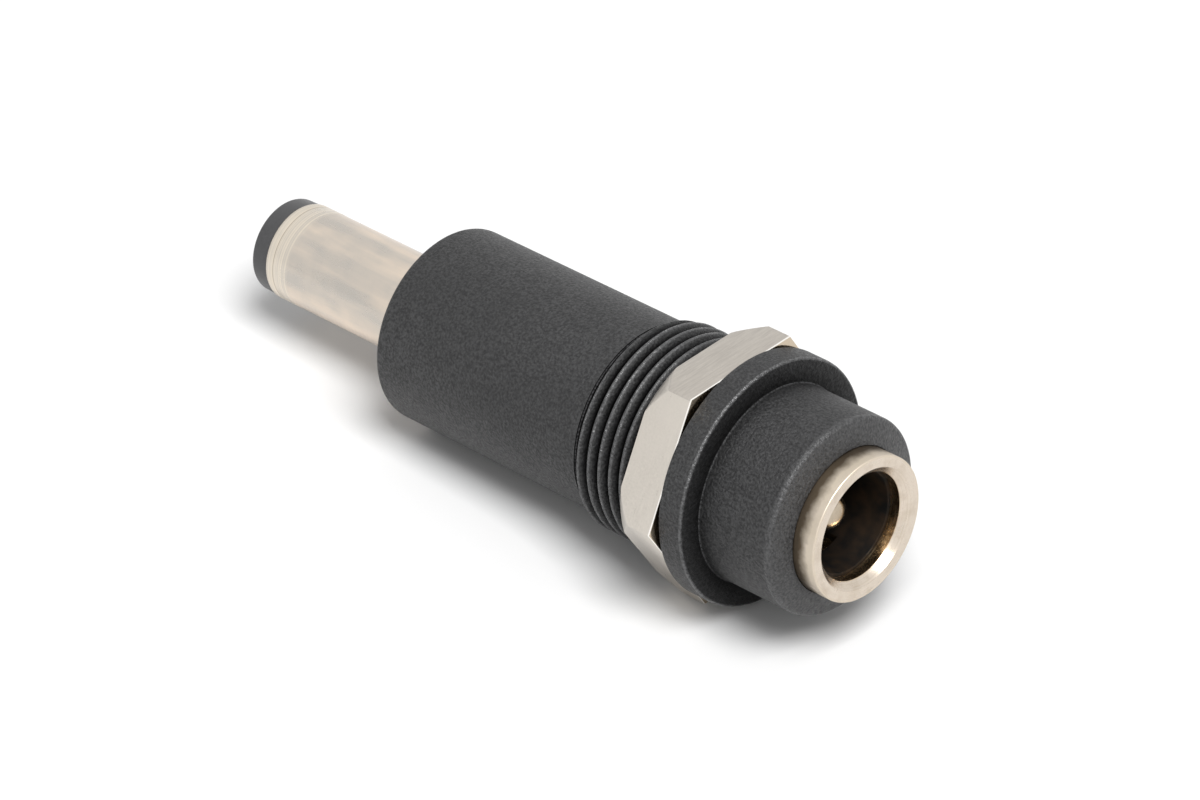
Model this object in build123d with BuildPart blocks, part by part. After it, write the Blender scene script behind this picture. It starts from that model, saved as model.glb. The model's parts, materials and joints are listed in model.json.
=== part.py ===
import os
from math import cos, radians, sin

from build123d import *

os.makedirs("parts", exist_ok=True)

# Panel-mount dc barrel adapter in mm. The axis lies along X with the socket towards +X.
# The origin is on the axis, in the rear face of the flange that seats on a panel.

# Plug, a 5.5 by 2.1 barrel
plug_diameter = 5.5
plug_bore_diameter = 2.1
plug_length = 12.38
tip_ring_length = 1.13
tip_ring_inset = 0.06
tip_ring_taper = 0.03
tip_ring_bevel = 0.13
barrel_wall = 0.3
barrel_seat_step = 0.25
contact_wall = 0.28
contact_head_overhang = 0.25
contact_setback = 0.6
slot_width = 0.3
slot_length = 4.0
collar_length = 0.9

# Housing outside
body_diameter = 10.8
body_length = 14.61
thread_height = 0.45
thread_pitch = 0.75
thread_length = 7.14
flange_overhang = 0.48
flange_thickness = 1.5
flange_edge_bevel = 0.16
nose_diameter = 10.8
nose_length = 5.06
nose_face_slope = 0.43
nose_edge_bevel = 0.3

# Housing inside
cavity_play = 0.09
rear_wall = 1.5

# Lock nut
nut_flat_wall = 0.4
nut_thickness = 2.6
nut_gap = 0.2
nut_bore_clearance = 0.05
nut_rear_land = 0.7
nut_chamfer_depth = 1.12
nut_edge_break = 0.08
nut_turn = -5.8

# Socket
shell_reach = 1.3
shell_length = 12.0
shell_wall = 0.6
mouth_play = 0.19
mouth_chamfer = 0.4
mouth_land = 0.64
liner_play = 0.03
liner_wall = 0.56
liner_floor = 1.4
washer_thickness = 0.8
pin_play = 0.05
pin_recess = 1.9
pin_dome = 0.7
pin_shoulder = 0.3
head_overhang = 0.6
head_thickness = 0.4

# Leaf spring of the socket, and the solder tags
leaf_width = 1.6
leaf_thickness = 0.2
leaf_sink = 0.2
leaf_bow = 0.22
leaf_tip_setback = 2.2
leaf_play = 0.1

# Wiring
core_diameter = 0.7
jacket_diameter = 1.3
tail_step = 0.15
tail_length = 1.5
solder_wall = 0.18
solder_cover = 0.8
lug_thickness = 0.3

# Radial slip between pieces that slide together
slip = 0.02

# Stations along the axis
flange_front = flange_thickness
nose_front = flange_front + nose_length
socket_front = nose_front + shell_reach
thread_end = -thread_length
body_rear = thread_end - body_length
plug_tip = body_rear - plug_length
metal_end = plug_tip + tip_ring_length
shell_rear = socket_front - shell_length
liner_front = socket_front - mouth_chamfer - mouth_land
floor_front = shell_rear + liner_floor
socket_washer_rear = shell_rear - washer_thickness
pin_tail_base = socket_washer_rear - head_thickness
pin_tail_end = pin_tail_base - tail_length
rear_wall_front = body_rear + rear_wall
collar_front = rear_wall_front + collar_length
lug_front = collar_front + lug_thickness
plug_washer_front = lug_front + washer_thickness
contact_tail_base = plug_washer_front + head_thickness
contact_tail_end = contact_tail_base + tail_length

# Radii of the plug and its contact
plug_radius = plug_diameter / 2
barrel_inner_radius = plug_radius - barrel_wall
barrel_seat_radius = plug_radius + barrel_seat_step
contact_bore_radius = plug_bore_diameter / 2
contact_radius = contact_bore_radius + contact_wall
contact_head_radius = contact_radius + contact_head_overhang

# Radii of the socket, which takes a plug of the same size
mouth_radius = plug_radius + mouth_play
liner_bore_radius = plug_radius + liner_play
liner_radius = liner_bore_radius + liner_wall
shell_inner_radius = liner_radius + slip
shell_radius = shell_inner_radius + shell_wall
cavity_radius = shell_inner_radius + cavity_play
collar_radius = cavity_radius - 5 * slip
pin_radius = contact_bore_radius - pin_play
pin_shank_radius = pin_radius - pin_shoulder
head_radius = pin_shank_radius + head_overhang
tail_radius = pin_shank_radius - tail_step
leaf_level = liner_bore_radius + leaf_sink
washer_radius = leaf_level - 2 * leaf_play
core_radius = core_diameter / 2
jacket_radius = jacket_diameter / 2

# Radii of the housing and nut
body_radius = body_diameter / 2
thread_radius = body_radius + thread_height
nose_radius = nose_diameter / 2
nut_bore_radius = thread_radius + nut_bore_clearance
nut_flat_radius = nut_bore_radius + nut_flat_wall
nut_corner_radius = 2 * nut_flat_radius / 3 ** 0.5
flange_radius = nut_flat_radius + flange_overhang


def corner(sketch, along, radius):
    return sketch.vertices().sort_by_distance(Vertex(along, radius, 0))[0]


def section(points):
    with BuildSketch(Plane.XZ) as outline:
        with BuildLine():
            Polyline(*points, close=True)
        make_face()
    return outline.sketch


# Thread ridge, right-handed, one turn for each pitch, running out into the body
ridge_foot = thread_pitch * 0.94
ridge_sink = 0.15
ridge_start = thread_pitch / 2
with BuildPart() as thread_ridge:
    with BuildLine() as ridge_path:
        Helix(
            pitch=thread_pitch,
            height=thread_length + ridge_start,
            radius=body_radius,
            center=(ridge_start, 0, 0),
            direction=(-1, 0, 0),
        )
    ridge_origin = ridge_path.line @ 0
    ridge_outward = Vector(0, ridge_origin.Y, ridge_origin.Z)
    ridge_plane = Plane(ridge_origin, x_dir=ridge_outward, z_dir=ridge_path.line % 0)
    with BuildSketch(ridge_plane):
        with BuildLine():
            Polyline(
                (-ridge_sink, -ridge_foot / 2),
                (thread_height, 0),
                (-ridge_sink, ridge_foot / 2),
                close=True,
            )
        make_face()
    sweep(path=ridge_path.line, is_frenet=True)
    add(section([
        (flange_front, 0),
        (flange_front, thread_radius + ridge_sink),
        (thread_end + thread_height + ridge_sink, thread_radius + ridge_sink),
        (thread_end, body_radius),
        (thread_end, 0),
    ]))
    revolve(axis=Axis.X, mode=Mode.INTERSECT)

# Housing, one moulding with a stepped bore open at the nose. Its flange covers the nut's flats.
with BuildPart() as housing:
    with BuildSketch(Plane.XZ) as housing_profile:
        with BuildLine():
            Polyline(
                (body_rear, barrel_seat_radius + slip),
                (body_rear, body_radius),
                (0, body_radius),
                (0, flange_radius),
                (flange_front, flange_radius),
                (flange_front, nose_radius),
                (nose_front - nose_face_slope, nose_radius),
                (nose_front, shell_radius + slip),
                (shell_rear, shell_radius + slip),
                (shell_rear, cavity_radius),
                (rear_wall_front, cavity_radius),
                (rear_wall_front, barrel_seat_radius + slip),
                close=True,
            )
        make_face()
        chamfer(corner(housing_profile, flange_front, flange_radius), length=flange_edge_bevel)
        chamfer(corner(housing_profile, nose_front - nose_face_slope, nose_radius), length=nose_edge_bevel)
    revolve(axis=Axis.X)
    add(thread_ridge.part)
housing.part.label = "housing"
export_step(housing.part, "parts/housing.step")

# Lock nut, with a steep chamfer on its rear corners and its rear flat face round
nut_front = -nut_gap
nut_rear = nut_front - nut_thickness
nut_rear_radius = nut_bore_radius + nut_rear_land
nut_chamfer_growth = nut_corner_radius - nut_rear_radius
with BuildPart() as lock_nut:
    with BuildSketch(Plane.YZ.offset(nut_rear)):
        RegularPolygon(radius=nut_flat_radius, side_count=6, major_radius=False, rotation=nut_turn)
    extrude(amount=nut_thickness)
    nut_front_face = lock_nut.faces().sort_by(Axis.X)[-1]
    chamfer(nut_front_face.outer_wire().edges(), length=nut_edge_break)
    add(section([
        (nut_front, 0),
        (nut_front, nut_corner_radius * 2),
        (nut_rear + nut_chamfer_depth * 2, nut_corner_radius * 2),
        (nut_rear + nut_chamfer_depth * 2, nut_rear_radius + nut_chamfer_growth * 2),
        (nut_rear, nut_rear_radius),
        (nut_rear, 0),
    ]))
    revolve(axis=Axis.X, mode=Mode.INTERSECT)
    with BuildSketch(Plane.YZ.offset(nut_rear)):
        Circle(nut_bore_radius)
    extrude(amount=nut_thickness, mode=Mode.SUBTRACT)
lock_nut.part.label = "lock_nut"
export_step(lock_nut.part, "parts/lock_nut.step")

# Socket shell, its chamfered mouth and a front lip that keeps the liner in
with BuildPart() as socket_shell:
    add(section([
        (socket_front, mouth_radius + mouth_chamfer),
        (socket_front, shell_radius),
        (shell_rear, shell_radius),
        (shell_rear, shell_inner_radius),
        (liner_front, shell_inner_radius),
        (liner_front, mouth_radius),
        (socket_front - mouth_chamfer, mouth_radius),
    ]))
    revolve(axis=Axis.X)
socket_shell.part.label = "socket_shell"
export_step(socket_shell.part, "parts/socket_shell.step")

# Window in the liner for the leaf spring and its tag
window_width = leaf_width + 2 * leaf_play
window_level = liner_bore_radius - leaf_bow - leaf_play

# Socket liner, a cup with a hole for the pin and a window for the leaf spring
leaf_tip = liner_front - leaf_tip_setback
with BuildPart() as socket_liner:
    add(section([
        (liner_front, liner_bore_radius),
        (liner_front, liner_radius),
        (shell_rear, liner_radius),
        (shell_rear, pin_shank_radius + slip),
        (floor_front, pin_shank_radius + slip),
        (floor_front, liner_bore_radius),
    ]))
    revolve(axis=Axis.X)
    with BuildSketch(Plane.XY.offset(-shell_inner_radius)):
        with Locations(((leaf_tip + leaf_play + shell_rear) / 2, 0)):
            Rectangle(leaf_tip + leaf_play - shell_rear, window_width)
    extrude(amount=shell_inner_radius - window_level, mode=Mode.SUBTRACT)
socket_liner.part.label = "socket_liner"
export_step(socket_liner.part, "parts/socket_liner.step")

# Centre pin, domed at the front, its shank riveted behind the washer and drawn out to a tail
pin_tip = socket_front - pin_recess
dome_line = [
    (pin_tip - pin_dome * (1 - cos(radians(turn))), pin_radius - pin_dome * (1 - sin(radians(turn))))
    for turn in (0, 45, 90)
]
with BuildPart() as centre_pin:
    add(section([
        (pin_tip, 0),
        *dome_line,
        (floor_front, pin_radius),
        (floor_front, pin_shank_radius),
        (socket_washer_rear, pin_shank_radius),
        (socket_washer_rear, head_radius),
        (pin_tail_base, head_radius),
        (pin_tail_base, tail_radius),
        (pin_tail_end, tail_radius),
        (pin_tail_end, 0),
    ]))
    revolve(axis=Axis.X)
centre_pin.part.label = "centre_pin"
export_step(centre_pin.part, "parts/centre_pin.step")

# Insulating washer between the liner's floor and the pin's riveted head, inside the leaf's tag
with BuildPart() as socket_washer:
    with BuildSketch(Plane.YZ.offset(socket_washer_rear)):
        Circle(washer_radius)
        Circle(pin_shank_radius + slip, mode=Mode.SUBTRACT)
    extrude(amount=washer_thickness)
socket_washer.part.label = "socket_washer"
export_step(socket_washer.part, "parts/socket_washer.step")

# Leaf spring of the socket, bowed towards the axis and drawn out behind to a solder tag
leaf_crest = (leaf_tip + floor_front) / 2
leaf_bow_level = liner_bore_radius - leaf_bow
leaf_line = [
    (leaf_tip, leaf_level),
    (leaf_crest + leaf_width / 2, leaf_bow_level),
    (leaf_crest - leaf_width / 2, leaf_bow_level),
    (floor_front, leaf_level),
    (pin_tail_end, leaf_level),
]
with BuildPart() as sleeve_leaf:
    with BuildSketch(Plane.XZ):
        with BuildLine():
            Polyline(
                *[(along, -level) for along, level in leaf_line],
                *[(along, -level - leaf_thickness) for along, level in reversed(leaf_line)],
                close=True,
            )
        make_face()
    extrude(amount=leaf_width / 2, both=True)
sleeve_leaf.part.label = "sleeve_leaf"
export_step(sleeve_leaf.part, "parts/sleeve_leaf.step")

# Plug barrel, with a thicker seat and a collar in the housing's rear wall
with BuildPart() as plug_barrel:
    add(section([
        (metal_end, barrel_inner_radius),
        (metal_end, plug_radius),
        (body_rear, plug_radius),
        (body_rear, barrel_seat_radius),
        (rear_wall_front, barrel_seat_radius),
        (rear_wall_front, collar_radius),
        (collar_front, collar_radius),
        (collar_front, barrel_inner_radius),
    ]))
    revolve(axis=Axis.X)
plug_barrel.part.label = "plug_barrel"
export_step(plug_barrel.part, "parts/plug_barrel.step")

# Plug insulator, a slightly tapered tip ring and the tube that parts the barrel from the contact
tip_ring_radius = plug_radius - tip_ring_inset
insulator_bore_radius = contact_radius + slip
contact_front = plug_tip + contact_setback
with BuildPart() as plug_insulator:
    add(section([
        (plug_tip, insulator_bore_radius),
        (plug_tip, tip_ring_radius - tip_ring_taper - tip_ring_bevel),
        (plug_tip + tip_ring_bevel, tip_ring_radius - tip_ring_taper),
        (metal_end, tip_ring_radius),
        (metal_end, barrel_inner_radius - slip),
        (collar_front, barrel_inner_radius - slip),
        (collar_front, insulator_bore_radius),
    ]))
    revolve(axis=Axis.X)
plug_insulator.part.label = "plug_insulator"
export_step(plug_insulator.part, "parts/plug_insulator.step")

# Plug contact, a tube with crossed slots at the tip and a headed tail
with BuildPart() as plug_contact:
    add(section([
        (contact_front, contact_bore_radius),
        (contact_front, contact_radius),
        (plug_washer_front, contact_radius),
        (plug_washer_front, contact_head_radius),
        (contact_tail_base, contact_head_radius),
        (contact_tail_base, tail_radius),
        (contact_tail_end, tail_radius),
        (contact_tail_end, 0),
        (rear_wall_front, 0),
        (rear_wall_front, contact_bore_radius),
    ]))
    revolve(axis=Axis.X)
    with BuildSketch(Plane.YZ.offset(contact_front)):
        Rectangle(2 * plug_radius, slot_width)
        Rectangle(slot_width, 2 * plug_radius)
    extrude(amount=slot_length, mode=Mode.SUBTRACT)
plug_contact.part.label = "plug_contact"
export_step(plug_contact.part, "parts/plug_contact.step")

# Solder lug against the barrel's collar, its tag bent forwards
lug_tag_width = leaf_width - 2 * leaf_play
with BuildPart() as plug_lug:
    with BuildSketch(Plane.YZ.offset(collar_front)):
        Circle(collar_radius)
        Circle(barrel_inner_radius, mode=Mode.SUBTRACT)
    extrude(amount=lug_thickness)
    with BuildSketch(Plane.YZ.offset(collar_front)):
        with Locations((0, -leaf_level - leaf_thickness / 2)):
            Rectangle(lug_tag_width, leaf_thickness)
    extrude(amount=contact_tail_end - collar_front)
plug_lug.part.label = "plug_lug"
export_step(plug_lug.part, "parts/plug_lug.step")

# Insulating washer between the lug and the contact's head
with BuildPart() as plug_washer:
    with BuildSketch(Plane.YZ.offset(lug_front)):
        Circle(washer_radius)
        Circle(contact_radius + slip, mode=Mode.SUBTRACT)
    extrude(amount=washer_thickness)
plug_washer.part.label = "plug_washer"
export_step(plug_washer.part, "parts/plug_washer.step")

# Leads, straight from tail to tail, each soldered at both ends
jacket_socket_end = pin_tail_end - 1.3 * solder_cover
jacket_plug_end = contact_tail_end + 1.3 * solder_cover
jacket_length = jacket_socket_end - jacket_plug_end
negative_level = core_radius - leaf_level
negative_socket_end = pin_tail_end + solder_cover
negative_plug_end = contact_tail_end - solder_cover

# Positive lead, from the pin's tail to the contact's tail
with BuildPart() as positive_core:
    with BuildSketch(Plane.YZ.offset(contact_tail_end)):
        Circle(core_radius)
    extrude(amount=pin_tail_end - contact_tail_end)
positive_core.part.label = "positive_core"
export_step(positive_core.part, "parts/positive_core.step")

with BuildPart() as positive_jacket:
    with BuildSketch(Plane.YZ.offset(jacket_plug_end)):
        Circle(jacket_radius)
        Circle(core_radius, mode=Mode.SUBTRACT)
    extrude(amount=jacket_length)
positive_jacket.part.label = "positive_jacket"
export_step(positive_jacket.part, "parts/positive_jacket.step")

# Negative lead, from the leaf's tag to the lug's tag, lying on both
with BuildPart() as negative_core:
    with BuildSketch(Plane.YZ.offset(negative_plug_end)):
        with Locations((0, negative_level)):
            Circle(core_radius)
    extrude(amount=negative_socket_end - negative_plug_end)
negative_core.part.label = "negative_core"
export_step(negative_core.part, "parts/negative_core.step")

with BuildPart() as negative_jacket:
    with BuildSketch(Plane.YZ.offset(jacket_plug_end)):
        with Locations((0, negative_level)):
            Circle(jacket_radius)
            Circle(core_radius, mode=Mode.SUBTRACT)
    extrude(amount=jacket_length)
negative_jacket.part.label = "negative_jacket"
export_step(negative_jacket.part, "parts/negative_jacket.step")

# Solder at the four lead ends, against the tails and over the tags
flat_joint_width = core_diameter + 2 * solder_wall
with BuildPart() as pin_solder:
    with BuildSketch(Plane.YZ.offset(pin_tail_end - solder_cover)):
        Circle(tail_radius)
        Circle(core_radius, mode=Mode.SUBTRACT)
    extrude(amount=solder_cover)
pin_solder.part.label = "pin_solder"
export_step(pin_solder.part, "parts/pin_solder.step")

with BuildPart() as contact_solder:
    with BuildSketch(Plane.YZ.offset(contact_tail_end)):
        Circle(tail_radius)
        Circle(core_radius, mode=Mode.SUBTRACT)
    extrude(amount=solder_cover)
contact_solder.part.label = "contact_solder"
export_step(contact_solder.part, "parts/contact_solder.step")

with BuildPart() as leaf_solder:
    with BuildSketch(Plane.YZ.offset(negative_socket_end - solder_cover)):
        with Locations((0, negative_level)):
            Rectangle(flat_joint_width, flat_joint_width)
    extrude(amount=solder_cover * 1.2)
    add(sleeve_leaf.part, mode=Mode.SUBTRACT)
    add(negative_core.part, mode=Mode.SUBTRACT)
leaf_solder.part.label = "leaf_solder"
export_step(leaf_solder.part, "parts/leaf_solder.step")

with BuildPart() as lug_solder:
    with BuildSketch(Plane.YZ.offset(negative_plug_end - solder_cover * 0.2)):
        with Locations((0, negative_level)):
            Rectangle(flat_joint_width, flat_joint_width)
    extrude(amount=solder_cover * 1.2)
    add(plug_lug.part, mode=Mode.SUBTRACT)
    add(negative_core.part, mode=Mode.SUBTRACT)
lug_solder.part.label = "lug_solder"
export_step(lug_solder.part, "parts/lug_solder.step")
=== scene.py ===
import json
from math import atan2, cos, hypot, pi, radians, sin, tan

import bpy
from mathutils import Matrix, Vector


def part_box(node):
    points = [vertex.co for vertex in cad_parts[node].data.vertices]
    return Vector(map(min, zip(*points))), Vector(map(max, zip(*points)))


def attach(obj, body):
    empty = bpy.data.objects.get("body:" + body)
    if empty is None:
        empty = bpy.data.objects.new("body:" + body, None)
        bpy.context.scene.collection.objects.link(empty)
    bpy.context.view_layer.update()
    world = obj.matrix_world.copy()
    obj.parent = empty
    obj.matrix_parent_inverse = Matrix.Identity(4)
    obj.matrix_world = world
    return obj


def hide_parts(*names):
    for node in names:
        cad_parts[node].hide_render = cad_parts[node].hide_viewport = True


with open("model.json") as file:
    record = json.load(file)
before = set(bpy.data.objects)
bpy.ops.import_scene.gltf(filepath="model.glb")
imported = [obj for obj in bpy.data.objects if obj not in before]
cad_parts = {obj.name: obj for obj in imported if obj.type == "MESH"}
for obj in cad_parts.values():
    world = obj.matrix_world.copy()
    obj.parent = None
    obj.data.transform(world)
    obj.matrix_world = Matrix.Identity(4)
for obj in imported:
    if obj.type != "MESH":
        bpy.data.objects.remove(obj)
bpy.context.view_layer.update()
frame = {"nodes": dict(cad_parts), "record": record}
print("frame loaded,", len(frame["nodes"]), "nodes")

mm = 0.001
turnSteps = 192  # faces round each turned piece
weld = 2e-7  # vertices nearer than this, in metres, become one
mounts = {mount["name"]: mount["dims"] for mount in frame["record"]["mounts"]}


# What the frame gives, in mm. The part's own sizes are whole hundredths.

def hundredths(metres):
    return round(metres / mm, 2)


def rearOf(node):
    return hundredths(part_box(node)[0][0])


def frontOf(node):
    return hundredths(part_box(node)[1][0])


def radiusOf(node):
    # the largest radius of a turned node
    return hundredths(max(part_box(node)[1][1:]))


# Mesh helpers. Sizes in the dictionaries are mm, x runs along the axis with the socket at +x.

def clearSelection():
    if bpy.context.object and bpy.context.object.mode != "OBJECT":
        bpy.ops.object.mode_set(mode="OBJECT")
    bpy.ops.object.select_all(action="DESELECT")


def pick(obj):
    clearSelection()
    obj.select_set(True)
    bpy.context.view_layer.objects.active = obj


def applyAll(obj):
    pick(obj)
    bpy.ops.object.transform_apply(location=True, rotation=True, scale=True)


def smooth(obj, degrees=30):
    pick(obj)
    bpy.ops.object.shade_smooth_by_angle(angle=radians(degrees))


def cleanMesh(obj):
    pick(obj)
    bpy.ops.object.mode_set(mode="EDIT")
    bpy.ops.mesh.select_all(action="SELECT")
    bpy.ops.mesh.remove_doubles(threshold=weld)
    bpy.ops.mesh.normals_make_consistent(inside=False)
    bpy.ops.object.mode_set(mode="OBJECT")


def roundedLine(points, segments=5):
    # points are (x, r) or (x, r, rounding)
    out = []
    count = len(points)
    for i, point in enumerate(points):
        size = point[2] if len(point) > 2 else 0
        if not size:
            out.append(point[:2])
            continue
        before, after = points[i - 1], points[(i + 1) % count]
        ax, ar = before[0] - point[0], before[1] - point[1]
        bx, br = after[0] - point[0], after[1] - point[1]
        la, lb = hypot(ax, ar), hypot(bx, br)
        ax, ar, bx, br = ax / la, ar / la, bx / lb, br / lb
        half = atan2(abs(ax * br - ar * bx), ax * bx + ar * br) / 2
        reach = min(size / tan(half), la * 0.9, lb * 0.9)
        for k in range(segments + 1):
            t = k / segments
            p, q = (1 - t) ** 2 * reach, t ** 2 * reach
            out.append((point[0] + ax * p + bx * q, point[1] + ar * p + br * q))
    return out


def startLine(name):
    # one vertex at the origin, ready to be extruded
    clearSelection()
    bpy.ops.mesh.primitive_plane_add(size=mm, location=(0, 0, 0))
    obj = bpy.context.object
    obj.name = name
    bpy.ops.object.mode_set(mode="EDIT")
    bpy.ops.mesh.select_mode(type="VERT")
    bpy.ops.mesh.select_all(action="SELECT")
    bpy.ops.mesh.merge(type="CENTER")
    return obj


def selectRun(obj, start, end, leastRadius):
    # the one straight run of the section between two x, and no nearer the axis than the radius
    bpy.ops.mesh.select_all(action="DESELECT")
    bpy.ops.object.mode_set(mode="OBJECT")
    for edge in obj.data.edges:
        ends = [obj.data.vertices[i] for i in edge.vertices]
        xs = sorted(vertex.co.x / mm for vertex in ends)
        near = abs(xs[0] - start) < 1e-3 and abs(xs[1] - end) < 1e-3
        if near and min(vertex.co.z / mm for vertex in ends) > leastRadius:
            edge.select = True
            for vertex in ends:
                vertex.select = True
    bpy.ops.object.mode_set(mode="EDIT")


def turned(name, line, closeRings=None):
    # a closed section extruded point by point and spun round the x axis
    # closeRings is (from x, to x, least radius, number) for the one run that needs many rings
    obj = startLine(name)
    x, r = line[0]
    bpy.ops.transform.translate(value=(x * mm, 0, r * mm))
    for point in list(line[1:]) + [line[0]]:
        step = ((point[0] - x) * mm, 0, (point[1] - r) * mm)
        bpy.ops.mesh.extrude_region_move(TRANSFORM_OT_translate={"value": step})
        x, r = point
    bpy.ops.mesh.select_all(action="SELECT")
    bpy.ops.mesh.remove_doubles(threshold=weld)
    if closeRings:
        selectRun(obj, *closeRings[:3])
        bpy.ops.mesh.subdivide(number_cuts=closeRings[3])
    bpy.ops.mesh.select_all(action="SELECT")
    bpy.ops.mesh.spin(steps=turnSteps, angle=2 * pi, center=(0, 0, 0), axis=(1, 0, 0))
    bpy.ops.object.mode_set(mode="OBJECT")
    cleanMesh(obj)
    return obj


def boolean(obj, other, operation):
    pick(obj)
    modifier = obj.modifiers.new("cut", "BOOLEAN")
    modifier.operation = operation
    modifier.object = other
    modifier.solver = "EXACT"
    bpy.ops.object.modifier_apply(modifier=modifier.name)
    bpy.data.objects.remove(other)


def block(x0, x1, width, z0, z1, turn=0):
    clearSelection()
    bpy.ops.mesh.primitive_cube_add(size=1)
    obj = bpy.context.object
    obj.scale = ((x1 - x0) * mm, width * mm, (z1 - z0) * mm)
    obj.location = ((x0 + x1) / 2 * mm, 0, (z0 + z1) / 2 * mm)
    applyAll(obj)
    obj.rotation_euler = (radians(turn), 0, 0)
    applyAll(obj)
    return obj


def bevelEdges(obj, width):
    pick(obj)
    modifier = obj.modifiers.new("edge", "BEVEL")
    modifier.width = width * mm
    modifier.segments = 2
    modifier.limit_method = "ANGLE"
    modifier.angle_limit = radians(25)
    modifier.use_clamp_overlap = True
    bpy.ops.object.modifier_apply(modifier=modifier.name)


def finished(obj, material, body, node):
    obj.data.materials.clear()
    obj.data.materials.append(material)
    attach(obj, body)
    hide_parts(node)
    print("built", obj.name, len(obj.data.polygons), "faces")


# Node helpers for the materials. Everything is placed by Object coordinates, in metres.

class Shader:
    def __init__(self, name, **values):
        self.material = bpy.data.materials.new(name)
        self.material.use_nodes = True
        self.tree = self.material.node_tree
        self.bsdf = self.tree.nodes["Principled BSDF"]
        for key, value in values.items():
            self.bsdf.inputs[key.replace("_", " ")].default_value = value
        self.place = self.tree.nodes.new("ShaderNodeTexCoord").outputs["Object"]

    def feed(self, value, socket):
        if isinstance(value, bpy.types.NodeSocket):
            self.tree.links.new(value, socket)
        else:
            socket.default_value = value

    def plug(self, output, name):
        self.tree.links.new(output, self.bsdf.inputs[name])

    def noise(self, scale, detail=2.0, rough=0.5):
        # scale is per metre, one number or one for each axis
        stretch = self.tree.nodes.new("ShaderNodeMapping")
        stretch.inputs["Scale"].default_value = scale if isinstance(scale, tuple) else (scale, scale, scale)
        self.tree.links.new(self.place, stretch.inputs["Vector"])
        node = self.tree.nodes.new("ShaderNodeTexNoise")
        node.inputs["Scale"].default_value = 1.0
        node.inputs["Detail"].default_value = detail
        node.inputs["Roughness"].default_value = rough
        self.tree.links.new(stretch.outputs["Vector"], node.inputs["Vector"])
        return node.outputs["Fac"]

    def lines(self, value, scale):
        # noise that changes only with one value, such as x or the radius
        node = self.tree.nodes.new("ShaderNodeTexNoise")
        node.noise_dimensions = "1D"
        node.inputs["Scale"].default_value = scale
        node.inputs["Detail"].default_value = 2.0
        self.tree.links.new(value, node.inputs["W"])
        return node.outputs["Fac"]

    def ramp(self, output, low, high, start, end):
        # start up to low, end from high on, and a straight change between
        node = self.tree.nodes.new("ShaderNodeMapRange")
        node.inputs["From Min"].default_value = low
        node.inputs["From Max"].default_value = high
        node.inputs["To Min"].default_value = start
        node.inputs["To Max"].default_value = end
        self.tree.links.new(output, node.inputs["Value"])
        return node.outputs["Result"]

    def mixColor(self, factor, first, second):
        node = self.tree.nodes.new("ShaderNodeMix")
        node.data_type = "RGBA"
        for value, socket in ((factor, node.inputs[0]), (first, node.inputs[6]), (second, node.inputs[7])):
            self.feed(value, socket)
        return node.outputs[2]

    def math(self, operation, *values):
        node = self.tree.nodes.new("ShaderNodeMath")
        node.operation = operation
        for value, socket in zip(values, node.inputs):
            self.feed(value, socket)
        return node.outputs[0]

    def between(self, value, low, high):
        above = self.math("GREATER_THAN", value, low)
        return self.math("MULTIPLY", above, self.math("LESS_THAN", value, high))

    def length(self, first, second):
        squares = [self.math("POWER", value, 2) for value in (first, second)]
        return self.math("SQRT", self.math("ADD", *squares))

    def axes(self):
        # x and the distance from the x axis, then y and z
        node = self.tree.nodes.new("ShaderNodeSeparateXYZ")
        self.tree.links.new(self.place, node.inputs[0])
        x, y, z = node.outputs
        return x, self.length(y, z), y, z

    def bump(self, height, strength, distance):
        node = self.tree.nodes.new("ShaderNodeBump")
        node.inputs["Strength"].default_value = strength
        node.inputs["Distance"].default_value = distance
        self.tree.links.new(height, node.inputs["Height"])
        self.plug(node.outputs["Normal"], "Normal")


def grey(r, g=None, b=None):
    return (r, r if g is None else g, r if b is None else b, 1.0)


# In the looks, a noise is (scale, detail, roughness) and a ramp is (from, to, value at from, value at to).
# Places are x or the radius, in metres.

plasticLook = {
    # the third colour is the paler tone of rubbed edges and crests, partly a painted highlight
    "color": grey(0.012, 0.012, 0.0125), "pale": grey(0.054, 0.054, 0.055), "worn": grey(0.07, 0.07, 0.072),
    # groove is the colour of the painted shade deep in the thread's grooves
    "groove": grey(0.003),
    "grain": (7000, 3.0, 0.6), "grainPale": (0.38, 0.66, 0.0, 1.0),
    "grainStrength": 0.9, "grainHeight": 0.00009,
    "patches": (220, 2.0), "patchPale": (0.3, 0.7, 0.6, 1.0),
    "roughness": 0.48, "roughRamp": (0.3, 0.7, 0.56, 0.40), "polish": 0.31,
    "specular": 0.35, "wornSpecular": 0.5,
    "thread": (-0.00722, -0.00005), "threadDepth": (0.00543, 0.00578, 0.0, 1.0),
    "crest": (0.00578, 0.00583, 0.0, 1.0),
    "flangeFace": (0.00146, 0.00154), "faceShade": (0.0054, 0.0067, 0.12, 0.5),
    "noseStart": 0.00153, "rootShade": (0.00155, 0.0024, 0.55, 1.0),
    "speckles": (8000, 2.0), "speckleWear": (0.4, 0.6, 0.25, 1.0),
}
# x, radius, width and amount of the moulding's worn edges, paler also as a painted highlight, and of the
# painted highlight on its front slope
wornAndHighlitEdges = [
    (0.00145, 0.00673, 0.00012, 1.0),
    (0.00151, 0.00543, 0.00005, 0.8),
    (0.0061, 0.00536, 0.00028, 0.5),
    (0.00635, 0.0047, 0.0009, 0.3),
    (-0.00714, 0.00538, 0.00005, 1.0),
]


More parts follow.
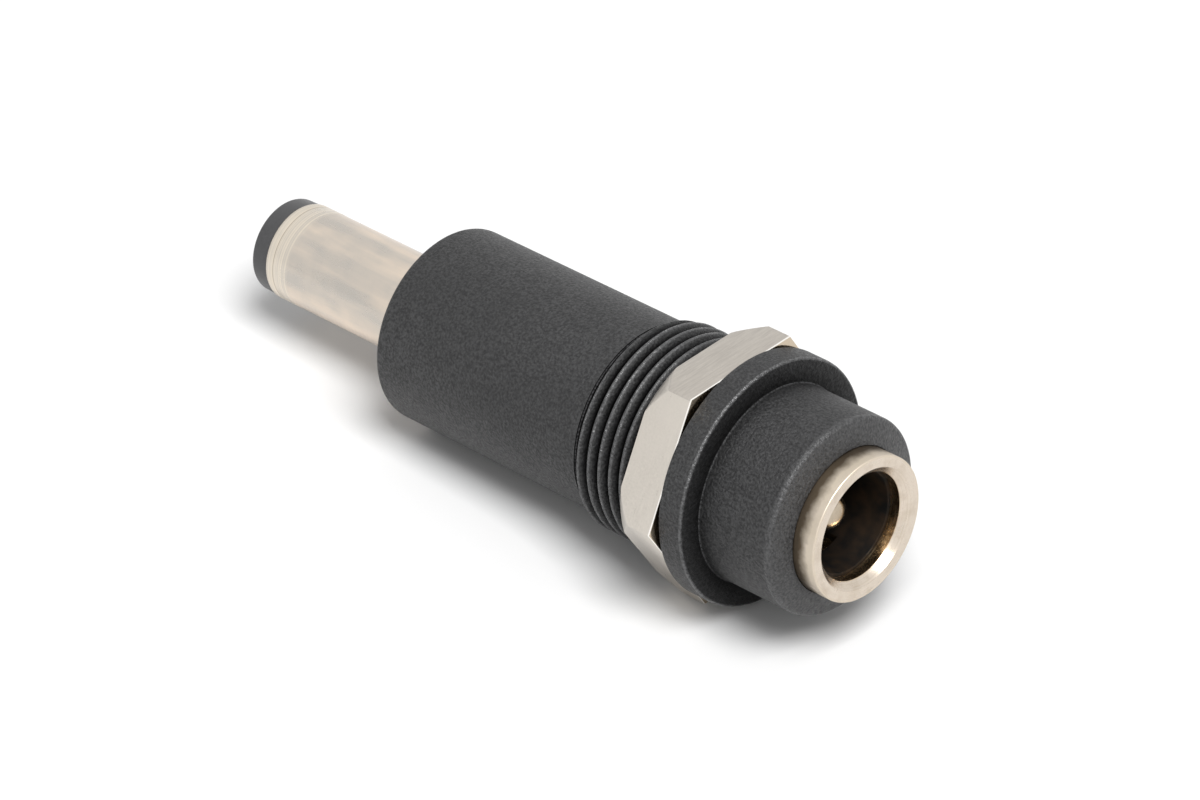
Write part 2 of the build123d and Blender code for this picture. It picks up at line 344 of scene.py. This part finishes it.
def blackPlastic(name, look, edges):
    s = Shader(name, Roughness=look["roughness"], Specular_IOR_Level=look["specular"])
    x, radius, _, _ = s.axes()
    grain = s.noise(*look["grain"])
    patches = s.ramp(s.noise(*look["patches"]), *look["patchPale"])
    pale = s.math("MULTIPLY", s.ramp(grain, *look["grainPale"]), patches)
    tone = s.mixColor(pale, look["color"], look["pale"])
    # painted shade: the thread's grooves darken with depth
    inThread = s.between(x, *look["thread"])
    keep = s.math("MAXIMUM", s.ramp(radius, *look["threadDepth"]), s.math("SUBTRACT", 1.0, inThread))
    # painted shade also darkens the flange's face, most near the nose, and the nose just in front of the
    # flange
    offFace = s.math("SUBTRACT", 1.0, s.between(x, *look["flangeFace"]))
    faceShade = s.math("MAXIMUM", s.ramp(radius, *look["faceShade"]), offFace)
    rootShade = s.math("MAXIMUM", s.ramp(x, *look["rootShade"]), s.math("LESS_THAN", x, look["noseStart"]))
    keep = s.math("MULTIPLY", keep, s.math("MULTIPLY", faceShade, rootShade))
    # edges and crests are rubbed smooth in small speckles, and their paler colour there is a painted
    # highlight as well as wear
    worn = s.math("MULTIPLY", inThread, s.ramp(radius, *look["crest"]))
    for edgeX, edgeRadius, width, amount in edges:
        apart = s.length(s.math("SUBTRACT", x, edgeX), s.math("SUBTRACT", radius, edgeRadius))
        worn = s.math("MAXIMUM", worn, s.ramp(apart, width * 0.5, width, amount, 0.0))
    worn = s.math("MULTIPLY", worn, s.ramp(s.noise(*look["speckles"]), *look["speckleWear"]))
    s.plug(s.mixColor(worn, s.mixColor(keep, look["groove"], tone), look["worn"]), "Base Color")
    shine = s.math("ADD", s.math("MULTIPLY", worn, look["wornSpecular"]), look["specular"])
    s.plug(s.math("MULTIPLY", keep, shine), "Specular IOR Level")
    rough = s.ramp(grain, *look["roughRamp"])
    s.plug(s.math("SUBTRACT", rough, s.math("MULTIPLY", worn, look["polish"])), "Roughness")
    s.bump(grain, look["grainStrength"], look["grainHeight"])
    return s.material


nutLook = {
    "dark": grey(0.57, 0.53, 0.475), "light": grey(0.65, 0.605, 0.545), "front": grey(0.56, 0.47, 0.36),
    # edge is the colour of the painted highlight along the front edge
    "edge": grey(0.95, 0.92, 0.87), "scrubbed": grey(0.40, 0.37, 0.335),
    "frontAt": -0.000205, "edgeRamp": (-0.00029, -0.00026, 0.0, 1.0),
    "roughness": 0.33, "frontRoughness": 0.13, "roughRamp": (0.25, 0.75, 0.26, 0.43),
    "streaks": ((9000, 900, 900), 3.0, 0.6), "streakShare": 0.6, "specks": (9000, 2.0), "speckShare": 0.7,
    "lightRamp": (0.45, 0.85, 0.0, 1.0), "softPatches": (350, 2.0), "softRamp": (0.35, 0.65, 0.0, 0.6),
    "scrubbedFlat": 84.2, "flatReach": 0.00622, "scrubRamp": (0.3, 0.7, 0.3, 0.8),
    "bumpStrength": 0.12, "bumpHeight": 0.00001,
}


def brushedNut(name, look):
    s = Shader(name, Metallic=1.0, Roughness=look["roughness"])
    x, _, y, z = s.axes()
    streaks = s.noise(*look["streaks"])
    marks = s.math("ADD", s.math("MULTIPLY", s.noise(*look["specks"]), look["speckShare"]),
                   s.math("MULTIPLY", streaks, look["streakShare"]))
    tone = s.mixColor(s.ramp(marks, *look["lightRamp"]), look["dark"], look["light"])
    tone = s.mixColor(s.ramp(s.noise(*look["softPatches"]), *look["softRamp"]), tone, look["light"])
    # the flat that faces this way is darker, in streaks
    angle = radians(look["scrubbedFlat"])
    reach = s.math("ADD", s.math("MULTIPLY", y, cos(angle)), s.math("MULTIPLY", z, sin(angle)))
    onFlat = s.math("GREATER_THAN", reach, look["flatReach"])
    tone = s.mixColor(s.math("MULTIPLY", onFlat, s.ramp(streaks, *look["scrubRamp"])), tone, look["scrubbed"])
    # the front edge gets a painted highlight, the front face is warmer and polished, so it mirrors the flange
    tone = s.mixColor(s.ramp(x, *look["edgeRamp"]), tone, look["edge"])
    atFront = s.math("GREATER_THAN", x, look["frontAt"])
    s.plug(s.mixColor(atFront, tone, look["front"]), "Base Color")
    polish = s.math("MULTIPLY", atFront, look["roughness"] - look["frontRoughness"])
    s.plug(s.math("SUBTRACT", s.ramp(streaks, *look["roughRamp"]), polish), "Roughness")
    s.bump(streaks, look["bumpStrength"], look["bumpHeight"])
    return s.material


socketLook = {
    "color": grey(0.67, 0.59, 0.50), "stain": grey(0.54, 0.46, 0.37), "side": grey(0.64, 0.56, 0.45),
    "root": grey(0.085, 0.06, 0.036), "mouth": grey(0.86, 0.66, 0.42), "mouthDark": grey(0.30, 0.20, 0.11),
    "blotches": (1300, 4.0, 0.6), "blotchRamp": (0.45, 0.7, 0.0, 0.7),
    "turnedLines": 16000, "lineRamp": (0.4, 0.7, 0.0, 0.3),
    "sideRamp": (0.00379, 0.00388, 0.0, 1.0), "sideRough": 0.16,
    "sidePatches": (900, 2.0), "sidePatchRamp": (0.35, 0.65, 0.35, 0.9),
    "rootDepth": (0.0066, 0.0076, 1.25, 0.0), "rootEdge": (0.3, 0.7, -0.16, 0.16),
    "rootRamp": (0.15, 0.9, 0.0, 0.92),
    "mouthDepth": (0.00744, 0.0075, 1.0, 0.0), "mouthRadius": (0.00296, 0.003, 1.0, 0.0),
    "mouthMarks": ((3000, 4500, 4500), 3.0, 0.65), "mouthRamp": (0.36, 0.64, 0.15, 0.85),
    "roughness": 0.24, "roughMarks": ((2500, 600, 600), 2.0), "roughRamp": (0.3, 0.7, 0.20, 0.30),
    "bumpStrength": 0.04, "bumpHeight": 0.00001,
}


def socketNickel(name, look):
    s = Shader(name, Metallic=1.0, Roughness=look["roughness"])
    x, radius, _, _ = s.axes()
    blotch = s.noise(*look["blotches"])
    turnedLines = s.lines(radius, look["turnedLines"])
    stain = s.math("ADD", s.ramp(blotch, *look["blotchRamp"]), s.ramp(turnedLines, *look["lineRamp"]))
    tone = s.mixColor(stain, look["color"], look["stain"])
    # the ring's side is browner in patches, and dark in blotches at the root by the nose
    side = s.ramp(radius, *look["sideRamp"])
    patches = s.ramp(s.noise(*look["sidePatches"]), *look["sidePatchRamp"])
    tone = s.mixColor(s.math("MULTIPLY", side, patches), tone, look["side"])
    depth = s.math("ADD", s.ramp(x, *look["rootDepth"]), s.ramp(blotch, *look["rootEdge"]))
    tone = s.mixColor(s.math("MULTIPLY", s.ramp(depth, *look["rootRamp"]), side), tone, look["root"])
    # inside the mouth it is gold and brown
    mouth = s.math("MULTIPLY", s.ramp(x, *look["mouthDepth"]), s.ramp(radius, *look["mouthRadius"]))
    marks = s.ramp(s.noise(*look["mouthMarks"]), *look["mouthRamp"])
    s.plug(s.mixColor(mouth, tone, s.mixColor(marks, look["mouthDark"], look["mouth"])), "Base Color")
    rough = s.ramp(s.noise(*look["roughMarks"]), *look["roughRamp"])
    s.plug(s.math("ADD", rough, s.math("MULTIPLY", side, look["sideRough"])), "Roughness")
    s.bump(s.math("ADD", blotch, turnedLines), look["bumpStrength"], look["bumpHeight"])
    return s.material


barrelLook = {
    "color": grey(0.525, 0.49, 0.445), "warm": grey(0.755, 0.645, 0.535), "band": grey(0.79, 0.71, 0.59),
    # line is the colour of the painted shade in the rolled groove
    "line": grey(0.40, 0.34, 0.26), "lineAt": -0.03242, "lineRamp": (0.00001, 0.00004, 0.8, 0.0),
    "streaks": ((90, 750, 750), 3.0, 0.6), "streakRamp": (0.38, 0.64, 0.0, 1.0), "streakShare": 0.7,
    "blotches": (650, 3.0), "blotchRamp": (0.35, 0.65, 0.0, 1.0), "blotchShare": 0.3,
    "bandEdge": (900, 2.0), "bandWander": 0.0003, "bandRamp": (-0.0314, -0.0311, 1.0, 0.0), "bandShare": 0.8,
    "rings": 9000, "ringRamp": (0.38, 0.62, 0.0, 0.7),
    "roughness": 0.31, "leastRoughness": 0.26, "roughSwing": 0.1,
    "scratches": ((300, 4000, 4000), 2.0), "bumpStrength": 0.03, "bumpHeight": 0.00001,
}


def satinBarrel(name, look):
    # soft streaks along the barrel, and a paler rolled band with fine rings by the tip
    s = Shader(name, Metallic=1.0, Roughness=look["roughness"])
    x = s.axes()[0]
    streaks = s.ramp(s.noise(*look["streaks"]), *look["streakRamp"])
    blotch = s.ramp(s.noise(*look["blotches"]), *look["blotchRamp"])
    shade = s.math("ADD", s.math("MULTIPLY", streaks, look["streakShare"]),
                   s.math("MULTIPLY", blotch, look["blotchShare"]))
    tone = s.mixColor(shade, look["color"], look["warm"])
    wander = s.math("MULTIPLY", s.noise(*look["bandEdge"]), look["bandWander"])
    inBand = s.ramp(s.math("ADD", x, wander), *look["bandRamp"])
    rings = s.lines(x, look["rings"])
    bandTone = s.mixColor(s.ramp(rings, *look["ringRamp"]), look["band"], look["color"])
    tone = s.mixColor(s.math("MULTIPLY", inBand, look["bandShare"]), tone, bandTone)
    # painted shade: a thin dark line in the rolled groove
    apart = s.math("ABSOLUTE", s.math("SUBTRACT", x, look["lineAt"]))
    s.plug(s.mixColor(s.ramp(apart, *look["lineRamp"]), tone, look["line"]), "Base Color")
    s.plug(s.math("ADD", s.math("MULTIPLY", shade, look["roughSwing"]), look["leastRoughness"]), "Roughness")
    relief = s.math("ADD", s.noise(*look["scratches"]), s.math("MULTIPLY", rings, inBand))
    s.bump(relief, look["bumpStrength"], look["bumpHeight"])
    return s.material


def plain(name, color, roughness, metallic=0.0, grainScale=3000, height=0.00001, dark=None, specular=0.5):
    s = Shader(name, Metallic=metallic, Roughness=roughness, Specular_IOR_Level=specular)
    grain = s.noise(grainScale)
    dark = dark or grey(color[0] * 0.8, color[1] * 0.8, color[2] * 0.8)
    s.plug(s.mixColor(s.ramp(grain, 0.3, 0.7, 0.0, 1.0), dark, color), "Base Color")
    s.plug(s.ramp(grain, 0.3, 0.7, roughness - 0.05, roughness + 0.05), "Roughness")
    s.bump(grain, 0.2, height)
    return s.material


materials = {
    "black_housing": blackPlastic("housingPlastic", plasticLook, wornAndHighlitEdges),
    "nut_nickel": brushedNut("nutNickel", nutLook),
    "socket_nickel": socketNickel("socketNickel", socketLook),
    "black_liner": plain("linerPlastic", grey(0.022, 0.013, 0.007), 0.6, grainScale=1300, dark=grey(0.004),
                         specular=0.18),
    "pin_nickel": plain("pinNickel", grey(0.52, 0.44, 0.34), 0.24, 1.0),
    "washer_board": plain("washerBoard", grey(0.35, 0.20, 0.10), 0.6),
    "spring_bronze": plain("springBronze", grey(0.70, 0.52, 0.30), 0.25, 1.0),
    "plug_nickel": satinBarrel("plugNickel", barrelLook),
    "black_tip": plain("tipPlastic", grey(0.05, 0.05, 0.052), 0.4, grainScale=5000, height=0.00002),
    "contact_brass": plain("contactBrass", grey(0.72, 0.60, 0.38), 0.22, 1.0),
    "copper": plain("tinnedCopper", grey(0.72, 0.42, 0.28), 0.3, 1.0),
    "red_jacket": plain("redJacket", grey(0.40, 0.02, 0.02), 0.4),
    "black_jacket": plain("blackJacket", grey(0.03, 0.03, 0.03), 0.4),
    "solder": plain("solder", grey(0.60, 0.60, 0.62), 0.25, 1.0),
}
print("materials made")

# Sizes that more than one piece uses

slip = 0.02  # radial, between pieces that slide together
rearWallFront = rearOf("housing") + 1.5
linerFloor = rearOf("socket_liner") + 1.4
barrelSeat, barrelInner, contactRadius, pinShank = 3.0, 2.45, 1.33, 0.7  # radii
rivetHead, solderTail = 0.4, 0.55  # the head's thickness and the tail's radius, on the pin and the contact

# Housing, a turned moulding whose thread zone is pushed out into a helical ridge

housing = {
    "bodyRear": rearOf("housing"), "bodyRadius": 5.4, "bodyRound": 0.28, "seatBore": barrelSeat + slip,
    "flangeRadius": radiusOf("housing"), "flangeFront": 1.5, "flangeRound": 0.22, "flangeBackRound": 0.1,
    "noseFront": frontOf("housing"), "noseSlope": 0.43, "noseRound": 0.26, "rootHollow": 0.1,
    "shellBore": radiusOf("socket_shell") + slip, "shellRear": rearOf("socket_shell"), "mouthRound": 0.04,
    "cavity": 3.45, "wallFront": rearWallFront,
    "zoneStart": -7.5, "zoneEnd": 0.0, "zoneInside": 5.0, "rings": 159,
    "pitch": 0.75, "crest": 5.85, "root": 5.24, "threadEnd": -7.14, "ridgeShift": 0.375,
    "ridgeHalf": 0.46, "ridgeFlanks": 1.8, "ridgeTop": 0.8,
    "growLead": 0.1, "growOver": 0.6, "sinkLead": 0.05, "sinkOver": 0.15,
}


def rise(x, start, length):
    return min(1.0, max(0.0, (x - start) / length))


def ridgeRadius(x, angle, h):
    # right-handed: the ridge moves towards +x as the angle grows
    turns = (x - h["ridgeShift"]) / h["pitch"] - (angle + pi / 2) / (2 * pi)
    apart = abs(turns - round(turns))
    shape = max(0.0, 1 - (apart / h["ridgeHalf"]) ** h["ridgeFlanks"]) ** h["ridgeTop"]
    sink = rise(x, h["threadEnd"] - h["sinkLead"], h["sinkOver"])
    grow = rise(x, h["threadEnd"] - h["growLead"], h["growOver"])
    floor = h["bodyRadius"] + (h["root"] - h["bodyRadius"]) * sink
    return floor + (h["crest"] - floor) * shape * grow


def buildHousing(h):
    line = roundedLine([
        (h["bodyRear"], h["seatBore"]),
        (h["bodyRear"], h["bodyRadius"], h["bodyRound"]),
        (h["zoneStart"], h["bodyRadius"]),
        (h["zoneEnd"], h["bodyRadius"]),
        (h["zoneEnd"], h["flangeRadius"], h["flangeBackRound"]),
        (h["flangeFront"], h["flangeRadius"], h["flangeRound"]),
        (h["flangeFront"], h["bodyRadius"], h["rootHollow"]),
        (h["noseFront"] - h["noseSlope"], h["bodyRadius"], h["noseRound"]),
        (h["noseFront"], h["shellBore"], h["mouthRound"]),
        (h["shellRear"], h["shellBore"]),
        (h["shellRear"], h["cavity"]),
        (h["wallFront"], h["cavity"]),
        (h["wallFront"], h["seatBore"]),
    ])
    obj = turned("housingMoulding", line, (h["zoneStart"], h["zoneEnd"], h["zoneInside"], h["rings"]))
    # the helix crosses the turned rings, so its vertices are moved one by one, but not the flange's corner
    for vertex in obj.data.vertices:
        x, y, z = (c / mm for c in vertex.co)
        radius = hypot(y, z)
        if h["zoneStart"] - 0.001 < x < h["zoneEnd"] - 0.02 and radius > h["zoneInside"]:
            push = ridgeRadius(x, atan2(z, y), h) / radius
            vertex.co.y *= push
            vertex.co.z *= push
    smooth(obj, 40)
    finished(obj, materials["black_housing"], "body", "housing")


buildHousing(housing)

# Lock nut, a hexagon met with a ring that cuts the steep rear corners and the bore

nut = {
    "flats": 12.6, "front": frontOf("lock_nut"), "rear": rearOf("lock_nut"), "turn": -5.8, "bore": 5.9,
    "leadIn": 0.15, "rearRadius": 6.6, "growth": 0.602, "ringRadius": 8.4, "ringPast": 0.4, "edge": 0.075,
}


def buildNut(n):
    rear = n["rear"]
    clearSelection()
    bpy.ops.mesh.primitive_cylinder_add(vertices=6, radius=n["flats"] / 3 ** 0.5 * mm,
                                        depth=(n["front"] - rear) * mm, rotation=(0, pi / 2, 0))
    obj = bpy.context.object
    obj.name = "hexNut"
    applyAll(obj)
    obj.rotation_euler = (radians(n["turn"]), 0, 0)
    obj.location = ((n["front"] + rear) / 2 * mm, 0, 0)
    applyAll(obj)
    past = n["ringPast"]
    ring = turned("nutRing", [
        (n["front"] + past, n["bore"] + n["leadIn"] + past),
        (n["front"] + past, n["ringRadius"]),
        (rear + (n["ringRadius"] - n["rearRadius"]) / n["growth"], n["ringRadius"]),
        (rear - past, n["rearRadius"] - past * n["growth"]),
        (rear - past, n["bore"] + n["leadIn"] + past),
        (rear + n["leadIn"], n["bore"]),
        (n["front"] - n["leadIn"], n["bore"]),
    ])
    boolean(obj, ring, "INTERSECT")
    cleanMesh(obj)
    bevelEdges(obj, n["edge"])
    smooth(obj, 28)
    finished(obj, materials["nut_nickel"], "nut", "lock_nut")


buildNut(nut)

# Socket shell with its polished chamfer, the liner cup, and the pin

shell = {
    "front": frontOf("socket_shell"), "rear": rearOf("socket_shell"), "radius": radiusOf("socket_shell"),
    "inner": radiusOf("socket_liner") + slip, "chamfer": 0.4,
    "mouth": mounts["jack_mouth"]["r_mm"], "land": mounts["jack_mouth"]["length_mm"],
    "edge": 0.07, "innerRound": 0.05, "mouthRound": 0.04,
}


def buildShell(h):
    landEnd = h["front"] - h["chamfer"] - h["land"]
    line = roundedLine([
        (h["front"], h["mouth"] + h["chamfer"], h["innerRound"]),
        (h["front"], h["radius"], h["edge"]),
        (h["rear"], h["radius"]),
        (h["rear"], h["inner"]),
        (landEnd, h["inner"]),
        (landEnd, h["mouth"], h["innerRound"]),
        (h["front"] - h["chamfer"], h["mouth"], h["mouthRound"]),
    ])
    obj = turned("socketRing", line)
    smooth(obj)
    finished(obj, materials["socket_nickel"], "body", "socket_shell")


buildShell(shell)

liner = {
    "front": frontOf("socket_liner"), "rear": rearOf("socket_liner"), "radius": radiusOf("socket_liner"),
    "bore": 2.78, "floor": linerFloor, "pinHole": pinShank + slip, "frontRound": 0.02, "floorRound": 0.15,
    "leafPlay": 0.1, "cutBehind": 1, "cutBelow": 4,
}


def buildLiner(h):
    leafSide, leafTop = [hundredths(c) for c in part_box("sleeve_leaf")[1][1:]]
    obj = turned("linerCup", roundedLine([
        (h["front"], h["bore"], h["frontRound"]),
        (h["front"], h["radius"]),
        (h["rear"], h["radius"]),
        (h["rear"], h["pinHole"]),
        (h["floor"], h["pinHole"]),
        (h["floor"], h["bore"], h["floorRound"]),
    ]))
    window = block(h["rear"] - h["cutBehind"], frontOf("sleeve_leaf") + h["leafPlay"],
                   2 * (leafSide + h["leafPlay"]), -h["cutBelow"], leafTop + h["leafPlay"])
    boolean(obj, window, "DIFFERENCE")
    cleanMesh(obj)
    smooth(obj)
    finished(obj, materials["black_liner"], "body", "socket_liner")


buildLiner(liner)

pin = {
    "tip": frontOf("centre_pin"), "radius": mounts["jack_pin"]["r_mm"], "dome": 0.7, "domeStep": 9,
    "floor": linerFloor, "shank": pinShank, "washerRear": rearOf("socket_washer"),
    "head": radiusOf("centre_pin"), "headRound": 0.15, "tailBase": rearOf("socket_washer") - rivetHead,
    "tail": solderTail, "tailEnd": rearOf("centre_pin"),
}


def buildPin(p):
    dome = [(p["tip"] - p["dome"] * (1 - cos(radians(a))), p["radius"] - p["dome"] * (1 - sin(radians(a))))
            for a in range(0, 91, p["domeStep"])]
    head = roundedLine([
        (p["washerRear"], p["head"]),
        (p["tailBase"], p["head"], p["headRound"]),
        (p["tailBase"], p["tail"]),
    ])
    obj = turned("socketPin", [
        (p["tip"], 0),
        *dome,
        (p["floor"], p["radius"]),
        (p["floor"], p["shank"]),
        (p["washerRear"], p["shank"]),
        *head,
        (p["tailEnd"], p["tail"]),
        (p["tailEnd"], 0),
    ])
    smooth(obj)
    finished(obj, materials["pin_nickel"], "body", "centre_pin")


buildPin(pin)

# Plug: the barrel with its rolled band near the tip, the black tip ring and the slotted contact

barrel = {
    "metalEnd": rearOf("plug_barrel"), "radius": mounts["plug_barrel"]["r_mm"], "mainRadius": 2.738,
    "inner": barrelInner, "bodyRear": rearOf("housing"), "seat": barrelSeat, "wallFront": rearWallFront,
    "collar": radiusOf("plug_barrel"), "collarFront": frontOf("plug_barrel"),
    "lip": 0.06, "lipSlope": 1.6, "lipRound": 0.03,
    "groove": -32.42, "grooveDepth": 0.014, "grooveHalf": 0.07, "grooveFloorHalf": 0.03,
    "bandEnd": -31.34, "bandFall": 0.12, "bandRound": 0.05, "roundSteps": 3,
}


def buildBarrel(b):
    groove = b["groove"]
    obj = turned("plugBarrel", roundedLine([
        (b["metalEnd"], b["inner"]),
        (b["metalEnd"], b["radius"] - b["lip"], b["lipRound"]),
        (b["metalEnd"] + b["lip"] * b["lipSlope"], b["radius"], b["lipRound"]),
        (groove - b["grooveHalf"], b["radius"]),
        (groove - b["grooveFloorHalf"], b["radius"] - b["grooveDepth"]),
        (groove + b["grooveFloorHalf"], b["radius"] - b["grooveDepth"]),
        (groove + b["grooveHalf"], b["radius"]),
        (b["bandEnd"], b["radius"], b["bandRound"]),
        (b["bandEnd"] + b["bandFall"], b["mainRadius"], b["bandRound"]),
        (b["bodyRear"], b["mainRadius"]),
        (b["bodyRear"], b["seat"]),
        (b["wallFront"], b["seat"]),
        (b["wallFront"], b["collar"]),
        (b["collarFront"], b["collar"]),
        (b["collarFront"], b["inner"]),
    ], b["roundSteps"]))
    smooth(obj)
    finished(obj, materials["plug_nickel"], "body", "plug_barrel")


buildBarrel(barrel)

tip = {
    "end": rearOf("plug_insulator"), "metalEnd": rearOf("plug_barrel"), "radius": radiusOf("plug_insulator"),
    "taper": 0.03, "round": 0.16, "hole": contactRadius + slip, "holeChamfer": 0.2, "holeRound": 0.06,
    "tube": barrelInner - slip, "tubeEnd": frontOf("plug_insulator"),
}


def buildTip(t):
    obj = turned("tipRing", roundedLine([
        (t["end"], t["hole"] + t["holeChamfer"], t["holeRound"]),
        (t["end"], t["radius"] - t["taper"], t["round"]),
        (t["metalEnd"], t["radius"]),
        (t["metalEnd"], t["tube"]),
        (t["tubeEnd"], t["tube"]),
        (t["tubeEnd"], t["hole"]),
        (t["end"] + t["holeChamfer"], t["hole"], t["holeRound"]),
    ]))
    smooth(obj)
    finished(obj, materials["black_tip"], "body", "plug_insulator")


buildTip(tip)

contact = {
    "mouth": rearOf("plug_contact"), "bore": mounts["plug_bore"]["r_mm"], "radius": contactRadius,
    "mouthRound": 0.08, "bottom": rearWallFront, "headBase": frontOf("plug_washer"),
    "head": radiusOf("plug_contact"), "tailBase": frontOf("plug_washer") + rivetHead, "tail": solderTail,
    "tailEnd": frontOf("plug_contact"),
    "slot": 0.3, "slotLength": 4.0, "cutAhead": 1, "cutReach": 3,
}


def buildContact(c):
    obj = turned("slottedContact", roundedLine([
        (c["mouth"], c["bore"], c["mouthRound"]),
        (c["mouth"], c["radius"]),
        (c["headBase"], c["radius"]),
        (c["headBase"], c["head"]),
        (c["tailBase"], c["head"]),
        (c["tailBase"], c["tail"]),
        (c["tailEnd"], c["tail"]),
        (c["tailEnd"], 0),
        (c["bottom"], 0),
        (c["bottom"], c["bore"]),
    ]))
    for turn in (0, 90):
        slot = block(c["mouth"] - c["cutAhead"], c["mouth"] + c["slotLength"], c["slot"],
                     -c["cutReach"], c["cutReach"], turn)
        boolean(obj, slot, "DIFFERENCE")
    cleanMesh(obj)
    smooth(obj)
    finished(obj, materials["contact_brass"], "body", "plug_contact")


buildContact(contact)

# The pieces inside keep their CAD meshes and get their looks here

slotOfNode = {s["node"]: s["material_slot"] for s in frame["record"]["subparts"]}
for name, node in frame["nodes"].items():
    for place in node.material_slots:
        place.material = materials[slotOfNode[name]]
print("CAD pieces painted")

# Floor that touches the flange and the body's rear edge, then the camera, the lights and the world

floorPlane = {
    "touch": (0.0, -0.6842, -6.7358), "turn": (-5.8, 3.6391, -0.1844), "size": 6000,
    "color": 0.8, "seen": 0.86,
    "clearReach": 0.008, "clearRamp": (0.9, 0.999, 0.0, 1.0), "clearSamples": 6,
}
camera = {
    "location": (0.16908198, -0.15261705, 0.18507347), "turn": (51.44107, 7.6724, 43.58674), "lens": 173.969,
    "sensor": 36, "near": 0.01, "far": 20,
}
# toward is the light's direction in the camera's own terms: right, up, towards the camera
keyLight = {"toward": (0.15, 0.44, 0.885), "distance": 0.9, "size": 0.42, "power": 8.2}
glintLight = {"toward": (0.49, 0.27, 0.83), "distance": 0.9, "size": 0.34, "power": 2.6}
ambient = 0.47


def inRadians(angles):
    return [radians(a) for a in angles]


def seenDirectly(tree):
    # 1 for what the camera sees, also by way of a reflection or through glass
    path = tree.nodes.new("ShaderNodeLightPath")
    total = path.outputs["Is Camera Ray"]
    for name in ("Is Glossy Ray", "Is Transmission Ray"):
        node = tree.nodes.new("ShaderNodeMath")
        node.operation = "MAXIMUM"
        tree.links.new(total, node.inputs[0])
        tree.links.new(path.outputs[name], node.inputs[1])
        total = node.outputs[0]
    return total


def floorWhite(look):
    s = Shader("floorWhite", Roughness=1.0, Specular_IOR_Level=0.0)
    s.plug(s.mixColor(seenDirectly(s.tree), grey(look["color"]), grey(look["seen"])), "Base Color")
    # clear from underneath, and round the nut where it has slid off the end and hangs through the floor
    below = s.tree.nodes.new("ShaderNodeAmbientOcclusion")
    below.inside = True
    below.samples = look["clearSamples"]
    below.inputs["Distance"].default_value = look["clearReach"]
    underneath = s.tree.nodes.new("ShaderNodeNewGeometry").outputs["Backfacing"]
    solid = s.math("SUBTRACT", s.ramp(below.outputs["AO"], *look["clearRamp"]), underneath)
    clear = s.tree.nodes.new("ShaderNodeBsdfTransparent")
    both = s.tree.nodes.new("ShaderNodeMixShader")
    for output, socket in zip((solid, clear.outputs[0], s.bsdf.outputs[0]), both.inputs):
        s.tree.links.new(output, socket)
    s.tree.links.new(both.outputs[0], s.tree.nodes["Material Output"].inputs["Surface"])
    return s.material


def addFloor(look):
    bpy.ops.mesh.primitive_plane_add(size=look["size"] * mm, location=[c * mm for c in look["touch"]],
                                     rotation=inRadians(look["turn"]))
    floor = bpy.context.object
    floor.name = "floor"
    floor.data.materials.append(floorWhite(look))


def addCamera(spot):
    bpy.ops.object.camera_add(location=spot["location"], rotation=inRadians(spot["turn"]))
    obj = bpy.context.object
    obj.data.lens = spot["lens"]
    obj.data.sensor_width = spot["sensor"]
    obj.data.clip_start = spot["near"]
    obj.data.clip_end = spot["far"]
    bpy.context.scene.camera = obj
    bpy.context.view_layer.update()


def softLight(name, spot):
    eye = bpy.context.scene.camera
    direction = (eye.matrix_world.to_3x3() @ eye.location.__class__(spot["toward"])).normalized()
    bpy.ops.object.light_add(type="AREA", location=direction * spot["distance"])
    light = bpy.context.object
    light.name = name
    light.data.size = spot["size"]
    light.data.energy = spot["power"]
    light.rotation_euler = direction.to_track_quat("Z", "Y").to_euler()
    return light


def background(tree, strength):
    node = tree.nodes.new("ShaderNodeBackground")
    node.inputs["Color"].default_value = grey(1.0)
    node.inputs["Strength"].default_value = strength
    return node.outputs[0]


def addWorld(strength):
    # white to look at, and less than that as light
    world = bpy.data.worlds.new("studio")
    bpy.context.scene.world = world
    world.use_nodes = True
    tree = world.node_tree
    tree.nodes.clear()
    mixed = tree.nodes.new("ShaderNodeMixShader")
    output = tree.nodes.new("ShaderNodeOutputWorld")
    shades = (seenDirectly(tree), background(tree, strength), background(tree, 1.0))
    for value, socket in zip(shades, mixed.inputs):
        tree.links.new(value, socket)
    tree.links.new(mixed.outputs[0], output.inputs["Surface"])


addFloor(floorPlane)
addCamera(camera)
softLight("keySoftbox", keyLight)
glint = softLight("glintSoftbox", glintLight)
glint.visible_diffuse = False  # only the small bright reflections on edges and the socket's chamfer
addWorld(ambient)
print("stage set")

bpy.context.scene.view_settings.view_transform = "Standard"
